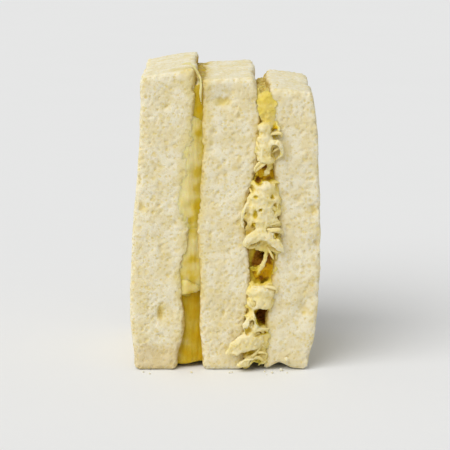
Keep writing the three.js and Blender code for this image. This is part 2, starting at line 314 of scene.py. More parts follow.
def even_copy(node, name, spacing, rounds):
    """Fine copy of a node's form, with faces of one size."""
    shell = bmesh.new()
    shell.from_mesh(nodes[node].data)
    bmesh.ops.remove_doubles(shell, verts=shell.verts, dist=1e-6)
    piece = add_object(name, mesh_of(shell, name))
    even_out(piece, spacing, rounds)
    return piece


def thin_out(piece, most):
    """Joins faces where the surface is flattest, until the piece has at most so many triangles."""
    thin = piece.modifiers.new("thin", "DECIMATE")
    triangles = sum(len(face.vertices) - 2 for face in piece.data.polygons)
    thin.ratio = min(1, most / triangles)
    bake(piece)


def hollowness(piece, rounds, full):
    """How far each vertex lies below the smoothed surface, from 0 on a ridge to 1 in a hollow."""
    smoother = add_object("smoother", piece.data.copy())
    smooth_out(smoother, rounds)
    below = []
    for vertex, even in zip(piece.data.vertices, smoother.data.vertices):
        below.append(min(1, max(0, 0.5 + 0.5 * (even.co - vertex.co).dot(vertex.normal) / full)))
    bpy.data.objects.remove(smoother)
    return below


def set_places(piece, places):
    for vertex, place in zip(piece.data.vertices, places):
        vertex.co = place
    piece.data.update()


def move_out(piece, depth):
    """Moves each vertex along its normal by depth(place, normal)."""
    set_places(piece, [v.co + v.normal * depth(v.co, v.normal) for v in piece.data.vertices])


def store(piece, name, values):
    """Keeps one number for each vertex under a name that the material can read."""
    layer = piece.data.attributes.new(name, "FLOAT", "POINT")
    layer.data.foreach_set("value", values)


def smooth_step(value, low, high):
    """0 below the low end and 1 above the high end, with a soft bend at both."""
    share = min(1, max(0, (value - low) / (high - low)))
    return share * share * (3 - 2 * share)


def rise(length, low_mm, high_mm):
    """Smooth step between two lengths that are given in mm."""
    return smooth_step(length, low_mm * MM, high_mm * MM)


def lumps(place, size_mm, x=0, y=0):
    """Soft noise of one size, from about -1 to 1. A shift in x and y gives each piece lumps of its own."""
    return noise.noise(place / (size_mm * MM) + Vector((x, y, 0)))


def finish_piece(piece, look, slot_name, *replaced):
    """Smooth shading, material, body and the node that the piece stands for."""
    for face in piece.data.polygons:
        face.use_smooth = True
    piece.data.materials.clear()
    piece.data.materials.append(look)
    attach(piece, "root")
    if replaced:
        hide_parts(*replaced)
    print(piece.name, len(piece.data.polygons), "faces")


SPACING = 0.36 * MM
graph = bpy.context.evaluated_depsgraph_get()
trees = {name: BVHTree.FromObject(nodes[name], graph) for name in nodes}

# %% [markdown]
# The bread is an open crumb. Its pores come in several sizes, so layers of cell noise push the surface in
# where a cell's random number says that it is open. A few larger pores are placed where they show on the
# front cut: across, height, half width, half height and depth, in mm. The depth is kept as well, for a
# painted shade that makes the bottom of a pore a little darker and yellower. Soft bread also gives way, so
# the side of each slice sags over the layer beside it, and the first slice bulges over the fruit at mid
# height.

# %% Open crumb
PORES = [
    {"span": 4.6 * MM, "radius": (0.10, 0.20), "depth": 0.36 * MM, "open": 0.22},
    {"span": 2.1 * MM, "radius": (0.16, 0.34), "depth": 0.24 * MM, "open": 0.55},
    {"span": 1.15 * MM, "radius": (0.22, 0.46), "depth": 0.24 * MM, "open": 0.85},
]
FRONT_PORES = [
    (-17.2, 15.5, 0.9, 2.2, 0.5), (-0.7, 16.0, 0.8, 1.5, 0.7), (22.6, 43.2, 1.3, 1.7, 0.6),
    (23.6, 34.5, 1.0, 1.5, 0.6), (20.6, 16.5, 2.0, 1.8, 0.6), (18.6, 46.1, 1.3, 1.0, 0.5),
    (-15.3, 70.2, 1.1, 0.9, 0.6), (-21.7, 43.7, 1.1, 2.1, 0.7), (-22.3, 51.0, 0.8, 1.8, 0.5),
    (-13.2, 39.8, 0.8, 1.2, 0.5), (-1.2, 71.4, 3.2, 1.3, 0.8), (3.3, 67.5, 0.9, 0.7, 0.5),
    (-3.2, 63.6, 0.9, 0.7, 0.5), (3.3, 43.1, 0.9, 0.7, 0.4), (5.4, 38.5, 0.9, 0.5, 0.4),
    (2.9, 34.1, 0.5, 0.9, 0.4), (13.3, 21.5, 0.6, 0.6, 0.4), (15.5, 47.3, 0.9, 0.8, 0.4),
]
BREAD_SPACING = 1.1 * SPACING
EDGE_CRUMBLE = 0.45 * MM
BREAD = ("bread_left", "bread_middle", "bread_right")
SAG_WAY = dict(zip(BREAD, (1, -1, -1)))
SIDE_LEAN = dict(zip(BREAD, (0.6 * MM, 0.6 * MM, 1.1 * MM)))
TOP_LEAN = dict(zip(BREAD, (1.3 * MM, 1.0 * MM, 2.0 * MM)))
FRUIT_BULGE = 1.3 * MM


def pore_depth(place, seed):
    """Depth of the open pores at a place."""
    total = 0
    for number, pore in enumerate(PORES):
        spot = place / pore["span"] + Vector((seed, 3.7 * number, 0))
        spot += 0.3 * noise.noise_vector(spot * 1.7)
        away, cells = noise.voronoi(spot)
        pick = abs(noise.cell(cells[0] * 57.3))
        if pick > pore["open"]:
            continue
        small, large = pore["radius"]
        radius = small + (large - small) * pick / pore["open"]
        total += pore["depth"] * (1 - smooth_step(away[0], radius * 0.4, radius * 1.3))
    return total


def front_pore_depth(place):
    """Depth of the pores that are placed on the front cut."""
    if place.y > front_cut + 3 * MM:
        return 0
    deepest = 0
    for x, z, half_width, half_height, depth in FRONT_PORES:
        across = (place.x - shift_x - x * MM) / (half_width * MM)
        along = (place.z - z * MM) / (half_height * MM)
        if abs(across) < 1.6 and abs(along) < 1.6:
            away = math.hypot(across, along) + 0.5 * lumps(place, 0.8)
            deepest = max(deepest, depth * MM * (1 - smooth_step(away, 0.0, 1.3)))
    return deepest


def fruit_bulge(z):
    """Where the first slice bulges over the fruit: all of it at mid height, half of it near the foot."""
    mid = rise(z, 28, 34) * (1 - rise(z, 59, 67))
    foot = rise(z, 2, 12) * (1 - rise(z, 15, 20))
    return FRUIT_BULGE * (mid + 0.5 * foot)


def sag(piece, name):
    """Moves the side of a slice over the layer beside it."""
    low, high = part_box(name)
    middle = (low.x + high.x) / 2
    way = SAG_WAY[name]
    for vertex in piece.data.vertices:
        z = vertex.co.z
        up = rise(z, 42, 72)
        above_foot = rise(z, 2, 12)
        beside = rise((vertex.co.x - middle) * way, -1, 5)
        move = SIDE_LEAN[name] * above_foot * (1 - up) + TOP_LEAN[name] * up
        if name == "bread_left":
            move += fruit_bulge(z)
        vertex.co.x += way * move * beside
    piece.data.update()


def crumb_piece(name, seed):
    piece = even_copy(name, name + "_crumb", BREAD_SPACING, 17)
    sag(piece, name)
    pores = []
    moved = []
    for vertex in piece.data.vertices:
        place = vertex.co
        pore = max(pore_depth(place, seed), front_pore_depth(place))
        flat = max(abs(part) for part in vertex.normal)
        edge = 1 - smooth_step(flat, 0.8, 0.98)
        grain = 0.09 * MM * noise.fractal(place / (1.0 * MM), 0.8, 2.0, 3)
        ragged = lumps(place, 0.9, seed) + 0.6 * lumps(place, 2.3)
        crumble = EDGE_CRUMBLE * edge * ragged
        swell = 0.12 * MM * lumps(place, 6, 0, seed)
        foot_face = smooth_step(-vertex.normal.z, 0.5, 0.9)
        place = place + vertex.normal * (grain + crumble + swell - pore) * (1 - foot_face)
        place.z = max(place.z, 0)
        moved.append(place)
        pores.append(pore / MM)
    set_places(piece, moved)
    store(piece, "pore", pores)
    return piece


breads = {name: crumb_piece(name, seed) for name, seed in zip(BREAD, (2.3, 5.9, 9.1))}
print("bread:", sum(len(b.data.vertices) for b in breads.values()), "vertices")

# %% [markdown]
# Bread beside wet fruit or dressing soaks some of it up and turns yellow there. The distance from each
# vertex to the nearest filling gives that stain, so it follows the wavy edge of the layer, and a few more
# stains and spots of painted shade are placed on the front cut: across, height, half sizes, kind and
# strength.
# Between the slices, where light comes only off yellow food, the walls get a painted golden shade. The foot
# of the first slice gets a soft tan band, darker towards the bottom.

# %% Moist edges, painted gap shade and foot
FRUIT = ("pineapple_lower", "pineapple_flap", "pineapple_middle", "pineapple_upper", "pineapple_sliver")
MOIST_REACH = 4.4 * MM
# The moist entries are stains where dressing has soaked in; the others are painted shade under the foot
# bundle, in a deep pore and beside two holes of the filling.
STAINS_AND_SHADE = [
    (6.4, 4.7, 3.0, 1.1, "painted_shade", 1.0), (7.6, 2.0, 2.0, 1.2, "painted_shade", 1.0),
    (2.0, 5.8, 2.6, 2.0, "moist", 0.9), (-17.2, 15.6, 0.8, 2.0, "painted_shade", 0.65),
    (-17.2, 15.6, 1.2, 2.6, "moist", 1.0), (-1.2, 71.2, 3.0, 1.2, "moist", 0.8),
    (-8.9, 59.5, 1.6, 7.0, "moist", 1.0), (9.4, 11.0, 1.2, 0.6, "painted_shade", 0.8),
    (13.6, 58.3, 0.8, 0.9, "painted_shade", 0.7), (13.2, 44.5, 1.0, 2.2, "moist", 0.9),
]


def stain_or_shade(place, kind):
    """Yellow places on the front cut: stains where dressing has soaked in, and spots of painted shade."""
    if place.y > front_cut + 3 * MM:
        return 0
    strongest = 0
    for x, z, wide, tall, name, strength in STAINS_AND_SHADE:
        if name == kind:
            near = 1 - smooth_step(away_from(place, x, z, wide, tall), 0.4, 1.3)
            strongest = max(strongest, strength * near)
    return strongest


def distance_to(names, place):
    hits = [trees[name].find_nearest(place, MOIST_REACH) for name in names]
    return min((hit[3] for hit in hits if hit[3] is not None), default=MOIST_REACH)


def stain_and_shade(piece):
    moist = []
    painted_shade = []
    foot = []
    for vertex in piece.data.vertices:
        place = vertex.co
        patchy = 0.5 * lumps(place, 4) + 0.25 * lumps(place, 1.3)
        to_fruit = distance_to(FRUIT, place)
        to_cream = distance_to(("shredded_filling",), place)
        near_fruit = 1 - smooth_step(to_fruit, 0.2 * MM, MOIST_REACH * (0.85 + patchy))
        near_cream = 1 - smooth_step(to_cream, 0.2 * MM, MOIST_REACH * (0.6 + patchy))
        moist.append(max(near_fruit, 0.8 * near_cream, stain_or_shade(place, "moist")))
        # Painted golden shade on the side walls inside the gap near fruit and filling, where light comes only
        # off yellow food.
        inside = rise(min(place.y - front_cut, back_cut - place.y), 0.3, 2.2)
        close = 1 - rise(min(to_fruit, to_cream), 1.5, 3.5)
        painted_shade.append(max(inside * close * abs(vertex.normal.x), stain_or_shade(place, "painted_shade")))
        height = place.z + 2.4 * MM * lumps(place, 3) + 1.0 * MM * lumps(place, 1.1)
        foot.append(1 - rise(height, 4.0, 9.6))
    store(piece, "moist", moist)
    store(piece, "painted_shade", painted_shade)
    store(piece, "foot", foot if piece == breads["bread_left"] else [0.25 * f for f in foot])


for piece in breads.values():
    stain_and_shade(piece)
print("stains stored on", len(breads), "slices")

# %% [markdown]
# Cut crumb looks velvety: thousands of tiny bubbles, each with a thin pale wall. The larger ones are in the
# mesh. The smaller ones are three layers of cell texture in the material, which dent the surface and give
# the hollows a painted shade, darker and yellower, and a fine grain lies over them.

# %% Bread material
def bubble_group():
    """Small open bubbles: a mask from 0 to 1, for the painted shade in their hollows and for height."""
    group, into, outof = new_group("bubbles", ("Scale", "Open"), ("Mask",))
    place = node(group, "ShaderNodeTexCoord").outputs["Object"]
    wobble = node(group, "ShaderNodeTexNoise", {"Vector": place, "Scale": 900, "Detail": 2})
    shift = {0: wobble.outputs["Color"], 1: (0.0005, 0.0005, 0.0005), 2: place}
    uneven = node(group, "ShaderNodeVectorMath", shift, operation="MULTIPLY_ADD")
    inputs = {"Vector": uneven.outputs[0], "Scale": into.outputs["Scale"]}
    cells = node(group, "ShaderNodeTexVoronoi", inputs, feature="F1")
    number = node(group, "ShaderNodeSeparateColor", {0: cells.outputs["Color"]})
    is_open = calculate(group, "LESS_THAN", number.outputs[0], into.outputs["Open"])
    hollow = ranged(group, cells.outputs["Distance"], 0.12, 0.5, 1, 0)
    set_inputs(group, outof, {"Mask": calculate(group, "MULTIPLY", hollow, is_open)})
    return group


BUBBLES = bubble_group()


def bubbles(tree, scale, share_open):
    values = {"Scale": scale, "Open": share_open}
    return node(tree, "ShaderNodeGroup", values, node_tree=BUBBLES).outputs["Mask"]


def bread_material():
    look, tree, shader = material("white crumb")
    spots = mottle(tree, 330, 1700)
    wide = bubbles(tree, 540, 0.4)
    small = bubbles(tree, 1000, 0.6)
    tiny = bubbles(tree, 2000, 0.75)
    patch = ranged(tree, spots.outputs["Patch"], 0.36, 0.64)
    colour = blend_colour(tree, patch, (0.830, 0.770, 0.585), (0.785, 0.692, 0.435))
    colour = lay_over(tree, colour, [
        # Painted shade: the hollows of the bubbles and the bottoms of the pores are tinted darker and
        # yellower.
        (tiny, 0, 1, 0.5, (0.74, 0.61, 0.25)),
        (small, 0, 1, 0.6, (0.73, 0.59, 0.20)),
        (wide, 0, 1, 0.5, (0.74, 0.60, 0.22)),
        (attribute(tree, "pore"), 0.05, 0.8, 0.72, (0.73, 0.57, 0.16)),
        (attribute(tree, "moist"), 0.05, 1, 0.56, (0.73, 0.61, 0.22)),
        (attribute(tree, "foot"), 0, 1, 0.55, (0.62, 0.48, 0.22)),
    ])
    finer = calculate(tree, "MULTIPLY_ADD", tiny, 0.7, calculate(tree, "MULTIPLY", wide, 1.3))
    hollows = calculate(tree, "MULTIPLY_ADD", small, 1.4, finer)
    height = calculate(tree, "SUBTRACT", spots.outputs["Grain"], hollows)
    set_inputs(tree, shader, {
        # Painted golden shade on the gap walls and on the shade spots of the front cut.
        "Base Color": blend_colour(tree, attribute(tree, "painted_shade"), colour, (0.60, 0.42, 0.09)),
        "Normal": bumps(tree, height, 0.42, 0.00018),
        "Roughness": 0.85,
        "Specular IOR Level": 0.15,
        "Subsurface Weight": 0.6,
        "Subsurface Radius": (0.0011, 0.0010, 0.0008),
        "Subsurface Scale": 1,
    })
    return look


WHITE_CRUMB = bread_material()
for name, piece in breads.items():
    finish_piece(piece, WHITE_CRUMB, "bread", name)

# %% [markdown]
# The filling is a heap of fine shreds in a creamy dressing, and the fruit too has a loose fibre or two. One
# shred is a stretched sphere, bent along a curve and grooved like a fibre.

# %% One shred
def on_curve(points, share):
    """Place on a smooth curve through the points."""
    spot = share * (len(points) - 1)
    first = min(int(spot), len(points) - 2)
    t = spot - first
    p1, p2 = points[first], points[first + 1]
    p0 = points[first - 1] if first > 0 else p1 * 2 - p2
    p3 = points[first + 2] if first + 2 < len(points) else p2 * 2 - p1
    squared = (2 * p0 - 5 * p1 + 4 * p2 - p3) * t * t
    cubed = (3 * p1 - p0 - 3 * p2 + p3) * t ** 3
    return 0.5 * ((2 * p1) + (p2 - p0) * t + squared + cubed)


def sphere(sides, steps):
    """Unit sphere with its poles up and down."""
    ball = bmesh.new()
    bmesh.ops.create_uvsphere(ball, u_segments=sides, v_segments=steps, radius=1)
    return mesh_of(ball, "sphere")


FINE_SPHERE = sphere(14, 26)
PLAIN_SPHERE = sphere(8, 9)


def add_shred(heap, points, width, thick, facing, seed, ball=PLAIN_SPHERE, twist=0.0):
    """Bends and grooves a sphere into one shred and adds it to the heap."""
    shred = bmesh.new()
    shred.from_mesh(ball)
    tone_layer = shred.verts.layers.float.new("tone")
    tone = 0.5 + 0.5 * noise.noise(Vector((seed * 7.3, 1.1, 4.2)))
    for vertex in shred.verts:
        along = math.acos(max(-1, min(1, vertex.co.z))) / math.pi
        angle = math.atan2(vertex.co.y, vertex.co.x)
        flat = math.hypot(vertex.co.x, vertex.co.y)
        place = on_curve(points, along)
        ahead = on_curve(points, min(1, along + 0.02)) - on_curve(points, max(0, along - 0.02))
        tangent = ahead.normalized()
        outward = (facing - tangent * facing.dot(tangent)).normalized()
        outward.rotate(Matrix.Rotation(twist * (along - 0.5), 3, tangent))
        side = outward.cross(tangent)
        girth = 0 if flat < 1e-6 else math.sin(math.pi * along) ** 0.4
        ragged = 0.3 * noise.noise(Vector((along * 6, seed, angle * 1.3)))
        girth *= 1 + 0.12 * math.cos(4 * angle + seed) + ragged
        girth /= 2
        vertex.co = place + side * math.cos(angle) * girth * width + outward * math.sin(angle) * girth * thick
        vertex[tone_layer] = tone
    bmesh.ops.recalc_face_normals(shred, faces=shred.faces)
    heap.append(mesh_of(shred, "shred"))


def save_heap(heap, name):
    """Joins all the small meshes of a heap into one piece."""
    parts = [add_object(name, mesh) for mesh in heap]
    with bpy.context.temp_override(active_object=parts[0], selected_editable_objects=parts):
        bpy.ops.object.join()
    parts[0].data.name = name
    return parts[0]


# %% [markdown]
# Soft food fills the whole gap between two slices, so the fruit and the filling press into the bread, and
# each piece of fruit meets the next. Rays along an axis find what lies there, and that side of the piece
# moves out until it sinks in a little. The loose fibres at the top of the sliver stay as they are.

# %% Pressing into the bread
SIDEWAYS = (0, 3.2 * MM, 1.0 * MM)
ENDWAYS = (2, 2.4 * MM, 0.4 * MM)
FIBRE_FOOT = 75.6 * MM


def on_fibre(place):
    return place.z > FIBRE_FOOT and place.y < front_cut + 5.5 * MM


def press(piece, names, along, start, low, high):
    """Widens a piece to the named solids along an axis, from a distance behind the front cut."""
    axis, reach, sink = along
    places = []
    for vertex in piece.data.vertices:
        place = vertex.co.copy()
        share = smooth_step(abs(vertex.normal[axis]), low, high)
        share *= smooth_step(place.y - front_cut, start, start + 1.2 * MM)
        if share > 0 and not (along == SIDEWAYS and on_fibre(place)):
            way = Vector((0, 0, 0))
            way[axis] = math.copysign(1, vertex.normal[axis])
            hits = [trees[name].ray_cast(place, way, reach)[3] for name in names]
            room = min((hit for hit in hits if hit is not None), default=None)
            if room is not None:
                place += way * share * (room + sink)
        places.append(place)
    set_places(piece, places)


# %% [markdown]
# Canned pineapple is wet, glassy fruit made of long fibres. Its solids get fine ridges that run up the
# piece, and a material that lets light through, with clear deep-gold patches between cloudy pale ones.
# The lowest piece is the ripest. Patches on the cut are placed by across, height, radius and paleness; one of
# them is a painted highlight, and three are painted shade at the top of the gap.

# %% Pineapple
RIPE = dict(zip(FRUIT, (0.82, 0.38, 0.42, 0.36, 0.74)))
# The pale patch at height 33.3 is a painted highlight, and the deep-gold ones at heights 69.3, 66.3 and 63.0
# are painted shade at the top of the gap between the first two slices.
PATCHES_AND_PAINTED_LIGHT = [
    (-8.3, 33.3, 2.4, 0.45), (-10.4, 13.0, 2.2, 0.15), (-9.6, 58.0, 3.0, 0.25), (-10.0, 48.0, 2.2, 0.15),
    (-6.5, 44.0, 2.6, -0.40), (-6.6, 53.0, 2.0, -0.30), (-7.4, 64.5, 2.2, -0.30), (-8.5, 26.5, 2.2, -0.25),
    (-9.0, 40.5, 1.4, -0.45), (-6.8, 69.3, 1.1, -0.60), (-5.3, 66.3, 1.1, -0.50), (-6.7, 63.0, 1.1, -0.40),
    (-9.2, 12.0, 1.9, 0.15),
]
FRUIT_SWELL = 0.12 * MM
FORWARD_BY = dict(zip(FRUIT, (0.2 * MM, 0, 0.3 * MM, 0.25 * MM, 0)))
SLANT = 0.7 * MM


def in_fibre(place):
    """True for the loose fibres of the sliver, at its top and hanging from it in front."""
    return place.y < front_cut + 1.7 * MM or on_fibre(place)


def ripeness(name, place, low, high, seed):
    """0 for pale cloudy fruit, 1 for clear deep gold, with a painted highlight and painted shade from the
    patches.
    """
    to_right = (place.x - low.x) / (high.x - low.x) - 0.5
    up = (place.z - low.z) / (high.z - low.z) - 0.5
    value = RIPE[name] + 0.3 * lumps(place, 2.6, seed, seed)
    if name == "pineapple_upper":
        value += 0.5 * to_right - 0.35 * up
    elif name == "pineapple_lower":
        value += 0.22 * to_right + 0.25 * smooth_step(up, 0.25, 0.45)
    for x, z, radius, share in PATCHES_AND_PAINTED_LIGHT:
        value -= share * (1 - smooth_step(away_from(place, x, z, radius, radius), 0.2, 1.1))
    if name == "pineapple_sliver" and in_fibre(place):
        value = -0.05
    return value


def fruit_piece(name, seed):
    piece = even_copy(name, name + "_flesh", SPACING, 6)
    others = [other for other in FRUIT if other != name]
    if name != "pineapple_flap":
        press(piece, breads, SIDEWAYS, -1 * MM, 0.45, 0.85)
        press(piece, others, ENDWAYS, -1 * MM, 0.5, 0.85)
    press(piece, breads, SIDEWAYS, 1.6 * MM, 0.15, 0.5)
    press(piece, others, ENDWAYS, 1.6 * MM, 0.15, 0.5)
    if name == "pineapple_sliver":
        hanging = []
        points = [at(-6.9, 2.4, 79.0), at(-6.3, 1.3, 76.0), at(-6.5, 0.9, 73.4), at(-6.2, 1.6, 70.4)]
        add_shred(hanging, points, 0.8 * MM, 0.7 * MM, Vector((0, -1, 0)), 4)
        hanging.insert(0, piece.data.copy())
        bpy.data.objects.remove(piece)
        piece = save_heap(hanging, name + "_flesh")
    even_out(piece, 0.66 * SPACING, 4)
    low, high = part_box(name)
    for vertex in piece.data.vertices:
        near_front = 1 - rise(vertex.co.y - front_cut, 4, 12)
        to_left = 0.5 - (vertex.co.x - low.x) / (high.x - low.x)
        slanted = SLANT * min(0.5, max(-0.5, to_left))
        vertex.co.y -= (FORWARD_BY[name] + slanted) * near_front
    piece.data.update()
    across = Matrix.Diagonal((1 / (0.9 * MM), 1 / (1.6 * MM), 1 / (7 * MM)))

    def ridges(place, normal):
        spot = across @ place + Vector((seed, 0, 0))
        fibre = noise.noise(spot) + 0.5 * noise.noise(spot * 2.3)
        lump = lumps(place, 2.6, 0, seed)
        if name == "pineapple_sliver" and in_fibre(place):
            return 0.08 * MM * lump
        return FRUIT_SWELL + 0.16 * MM * fibre + 0.26 * MM * lump

    move_out(piece, ridges)
    store(piece, "ripe", [ripeness(name, v.co, low, high, seed) for v in piece.data.vertices])
    return piece


FRUIT_COLOURS = [
    (-0.5, (0.88, 0.80, 0.50)),
    (0.0, (0.78, 0.665, 0.30)),
    (0.35, (0.725, 0.585, 0.19)),
    (0.6, (0.64, 0.465, 0.056)),
    (0.8, (0.585, 0.405, 0.022)),
    (1.0, (0.575, 0.365, 0.006)),
]


def fruit_material():
    look, tree, shader = material("wet pineapple")
    place = node(tree, "ShaderNodeTexCoord").outputs["Object"]
    stretch = node(tree, "ShaderNodeMapping", {"Vector": place, "Scale": (700, 500, 260)})
    inputs = {"Vector": stretch.outputs["Vector"], "Scale": 1, "Detail": 4}
    streaks = node(tree, "ShaderNodeTexNoise", inputs).outputs["Fac"]
    spots = mottle(tree, 420, 1500)
    fibres = calculate(tree, "MULTIPLY_ADD", streaks, -0.44, 0.22)
    clouds = calculate(tree, "MULTIPLY_ADD", spots.outputs["Patch"], 0.9, -0.45)
    ripe = calculate(tree, "ADD", attribute(tree, "ripe"), calculate(tree, "ADD", fibres, clouds))
    lowest, highest = FRUIT_COLOURS[0][0], FRUIT_COLOURS[-1][0]
    scale = node(tree, "ShaderNodeMapRange", {"Value": ripe, "From Min": lowest, "From Max": highest})
    ramp = node(tree, "ShaderNodeValToRGB", {"Fac": scale.outputs["Result"]})
    stops = ramp.color_ramp.elements
    stops[0].position, stops[0].color = 0, (*FRUIT_COLOURS[0][1], 1)
    stops[1].position, stops[1].color = 1, (*FRUIT_COLOURS[-1][1], 1)
    for ripe_at, colour in FRUIT_COLOURS[1:-1]:
        stops.new((ripe_at - lowest) / (highest - lowest)).color = (*colour, 1)
    height = calculate(tree, "MULTIPLY_ADD", streaks, 1.5, spots.outputs["Grain"])
    set_inputs(tree, shader, {
        "Base Color": ramp.outputs["Color"],
        "Normal": bumps(tree, height, 0.5, 0.0002),
        "Roughness": 0.3,
        "IOR": 1.36,
        "Specular IOR Level": 0.16,
        "Coat Weight": 0.04,
        "Coat Roughness": 0.15,
        "Subsurface Weight": 0.55,
        "Subsurface Radius": (0.0026, 0.0018, 0.0006),
        "Subsurface Scale": 1,
    })
    return look


WET_PINEAPPLE = fruit_material()
for number, name in enumerate(FRUIT):
    finish_piece(fruit_piece(name, 3.1 * number), WET_PINEAPPLE, "pineapple", name)

# %% [markdown]
# A thick shred is a bundle: a soft body with a few fine fibres side by side on it, each with a slight
# wander of its own. That gives the stringy look that one smooth strip doesn't have.

# %% A bundle of fibres
def across_path(points, number, facing):
    """Direction across a path at one of its points."""
    before = points[max(0, number - 1)]
    after = points[min(len(points) - 1, number + 1)]
    return (after - before).cross(facing).normalized()


def add_bundle(heap, points, width, thick, facing, seed, ball=PLAIN_SPHERE):
    add_shred(heap, points, width * 0.92, thick * 0.9, facing, seed, ball)
    count = max(2, round(width / (0.8 * MM)))
    for strand in range(count):
        aside = (strand + 0.5 + random.uniform(-0.3, 0.3)) / count - 0.5
        lift = 0.36 * thick * math.sqrt(max(0, 1 - (1.7 * aside) ** 2))
        start = random.uniform(0, 0.2)
        stop = random.uniform(0.8, 1)
        moved = []
        for step in range(5):
            point = on_curve(points, start + (stop - start) * step / 4)
            near = round(step / 4 * (len(points) - 1))
            wander = noise.noise_vector(point / (2.2 * MM) + Vector((seed, strand, 0))) * 0.5 * MM
            aside_by = across_path(points, near, facing) * aside * width * 0.95
            moved.append(point + aside_by + facing * lift + wander)
        fine = width / count * random.uniform(0.7, 1.5)
        add_shred(heap, moved, fine, fine * 0.8, facing, seed + 3.3 * strand, ball)


# %% [markdown]
# The large shreds are placed one by one where they show on the front cut: curls, the thick ribbon that
# arches over the deep hole, the strand across it, and the bundle that spills over the foot of the middle
# slice. Each has a list of places (across, distance proud of the cut, height), its width and its thickness,
# all in mm. Holes stay free of shreds down to a distance behind the cut, the last number of each. Pits are
# pressed in later. Both have their half sizes, and a number from 0 to 1 for how dark their painted shade is.

# %% Shreds on the front cut
FRONT_SHREDS = [
    ([(9.8, -1.8, 74.0), (10.6, -1.5, 70.0), (11.4, -1.6, 65.4)], 5.4, 1.6),
    ([(8.2, -0.6, 64.2), (10.0, 0.3, 64.9), (11.9, -0.5, 63.8)], 3.1, 1.8),
    ([(8.0, -0.8, 61.6), (10.0, 0.1, 61.8), (12.2, -0.6, 61.0)], 3.1, 1.6),
    ([(11.0, -0.6, 58.0), (11.5, 0.5, 60.8), (13.4, 0.7, 61.2), (14.3, 0.5, 58.8), (13.2, -0.6, 56.4)],
     1.4, 1.1),
    ([(7.6, -0.6, 58.4), (9.4, 0.2, 59.0), (11.4, -0.6, 57.8)], 3.3, 1.7),
    ([(7.8, -0.7, 56.4), (10.2, 0.1, 56.7), (12.8, -0.7, 55.8)], 2.2, 1.5),
    ([(9.7, -1.8, 52.2), (10.6, -0.9, 53.3), (11.3, -1.8, 54.3)], 1.6, 1.2),
    ([(7.0, -0.8, 49.7), (10.4, 0.1, 49.3), (13.0, -0.7, 48.0)], 3.2, 1.6),
    ([(5.4, -0.5, 46.6), (9.2, 0.2, 46.6), (14.4, -0.8, 45.6)], 3.4, 1.8),
    ([(5.0, -0.5, 43.4), (9.0, 0.2, 43.6), (14.4, -0.8, 42.6)], 3.4, 1.8),
    ([(4.6, 0.5, 38.0), (4.2, 0.6, 41.2), (4.9, 0.5, 44.2), (7.0, -1.0, 46.6)], 1.0, 0.9),
    ([(5.4, -0.5, 40.4), (9.2, 0.2, 40.6), (14.4, -0.8, 39.6)], 3.4, 1.8),
    ([(4.4, 0.5, 33.6), (6.4, 0.8, 36.0), (9.6, 0.6, 37.2), (12.6, 0.8, 35.2), (15.2, 0.5, 32.2)], 3.1, 1.6),
    ([(11.8, -2.6, 35.4), (10.2, -1.0, 30.2), (8.9, -1.4, 27.4), (7.8, -3.6, 24.0)], 1.3, 1.2),
    ([(5.2, -0.6, 21.2), (8.8, 0.2, 21.6), (12.8, -0.6, 20.6)], 3.4, 1.8),
    ([(5.4, -0.6, 18.2), (9.0, 0.2, 18.7), (12.6, -0.6, 17.9)], 3.4, 1.8),
    ([(6.9, -0.4, 17.2), (7.6, 0.5, 14.2), (8.8, 0.4, 12.0), (12.0, -0.8, 11.4)], 1.0, 0.9),
    ([(7.0, -0.6, 15.6), (5.6, 0.5, 14.2), (4.9, 0.7, 12.4), (5.4, 0.5, 10.8)], 1.3, 1.1),
    ([(5.6, -0.8, 12.4), (7.6, -0.3, 10.9), (11.4, -1.2, 9.6)], 2.0, 1.3),
    ([(-0.2, 0.4, 4.4), (3.2, 0.9, 8.0), (7.2, 0.8, 9.2), (10.9, -1.2, 7.0)], 3.0, 1.6),
    ([(1.8, 0.6, 4.4), (4.4, 0.9, 6.5), (7.4, 0.5, 7.1), (10.2, -1.4, 5.6)], 2.4, 1.4),
    ([(2.6, 0.7, 1.5), (5.6, 0.6, 2.8), (9.1, -0.4, 4.2)], 2.2, 1.4),
]
HOLES = [
    (10.8, 70.5, 3.6, 5.0, 0.0, 1.6),
    (10.5, 52.6, 2.5, 2.4, 0.8, 2.6),
    (9.5, 28.2, 3.2, 5.2, 0.8, 3.6),
    (9.8, 14.3, 2.2, 2.5, 1.0, 3.6),
]
PITS = [
    (12.6, 63.9, 0.6, 1.8, 0.8), (13.0, 58.4, 0.8, 1.0, 0.45), (8.2, 59.5, 0.6, 0.8, 0.25),
    (8.3, 51.2, 0.9, 1.2, 0.95), (7.5, 47.0, 0.6, 0.5, 0.5), (12.1, 46.9, 0.5, 0.6, 0.6),
    (8.9, 43.5, 0.5, 0.4, 0.6), (7.5, 42.3, 0.5, 1.0, 0.6), (12.8, 43.8, 0.5, 1.3, 0.4),
    (7.1, 39.4, 0.5, 0.6, 0.7), (12.3, 39.6, 0.5, 0.4, 0.5), (10.9, 38.5, 0.4, 0.5, 0.4),
    (13.1, 36.8, 0.6, 0.7, 0.85), (7.2, 18.4, 0.5, 0.8, 0.4), (9.2, 14.0, 1.1, 1.5, 1.0),
    (5.6, 11.4, 0.7, 0.7, 0.4), (9.6, 10.4, 1.6, 0.45, 0.8), (7.0, 4.7, 2.3, 0.6, 0.4),
    (7.9, 2.2, 1.6, 0.9, 0.4),
]
FORWARD, BACKWARD, UPWARD = Vector((0, -1, 0)), Vector((0, 1, 0)), Vector((0, 0, 1))
BUNDLE_WIDTHS = (1.2, 3)

